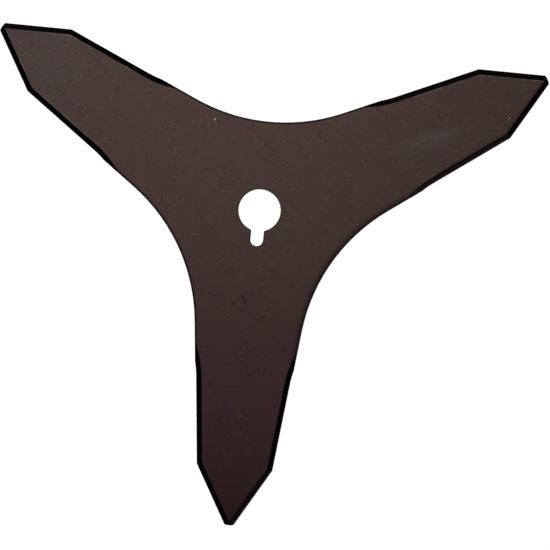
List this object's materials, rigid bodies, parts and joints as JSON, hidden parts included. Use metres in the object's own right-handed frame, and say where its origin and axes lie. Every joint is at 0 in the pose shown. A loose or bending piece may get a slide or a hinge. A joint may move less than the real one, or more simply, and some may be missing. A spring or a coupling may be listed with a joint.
{
  "type": "brush cutter blade",
  "caption": "Flat steel brush cutter blade with tapering, pointed arms ground to double-bevelled edges, a central bore and a slot for the head's drive pin.",
  "frame": {"origin": "on the bore's axis, in the plane of the lower face", "axes": "+Z along the bore's axis, out of the upper face; -Y along the arm that holds the drive pin slot; +X across it, so that the other arms point up and to either side"},
  "size_m": [0.2614, 0.2268, 0.003],
  "materials": {
    "browned_steel": "hardened spring steel with a thin dark brown baked coat, satin; the ground bevels are nearly black"
  },
  "bodies": {
    "root": {"blade": "browned_steel"}
  },
  "joints": []
}
